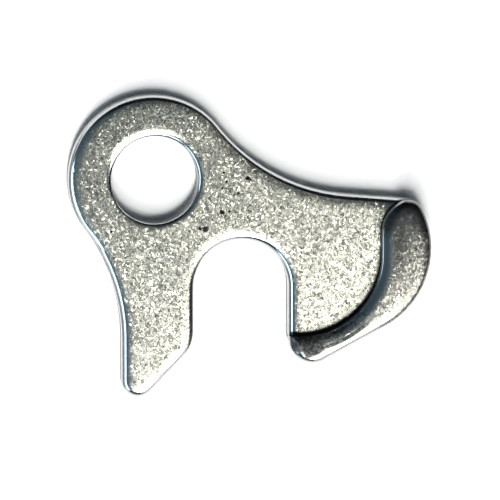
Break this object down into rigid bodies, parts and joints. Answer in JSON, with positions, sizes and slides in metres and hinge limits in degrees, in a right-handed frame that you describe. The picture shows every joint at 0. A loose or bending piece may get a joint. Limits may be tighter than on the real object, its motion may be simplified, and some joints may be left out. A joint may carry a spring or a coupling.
{
  "type": "bicycle derailleur hanger",
  "caption": "Stamped steel hanger plate: a round ear bored for a rear derailleur, an open slot for the wheel axle, a pointed leg and a raised crescent lug that keys it to the dropout.",
  "frame": {"origin": "centre of the wheel axle in its slot, at the hanger's flat back", "axes": "+Z out of the front face, the way the lug is raised; +X from the axle towards the lug; +Y towards the slot's closed end"},
  "size_m": [0.0376, 0.0313, 0.0045],
  "materials": {
    "steel": "tumbled bright plated steel with a fine pebbled grain and rolled edges"
  },
  "bodies": {
    "root": {"hanger_plate": "steel"}
  },
  "joints": []
}
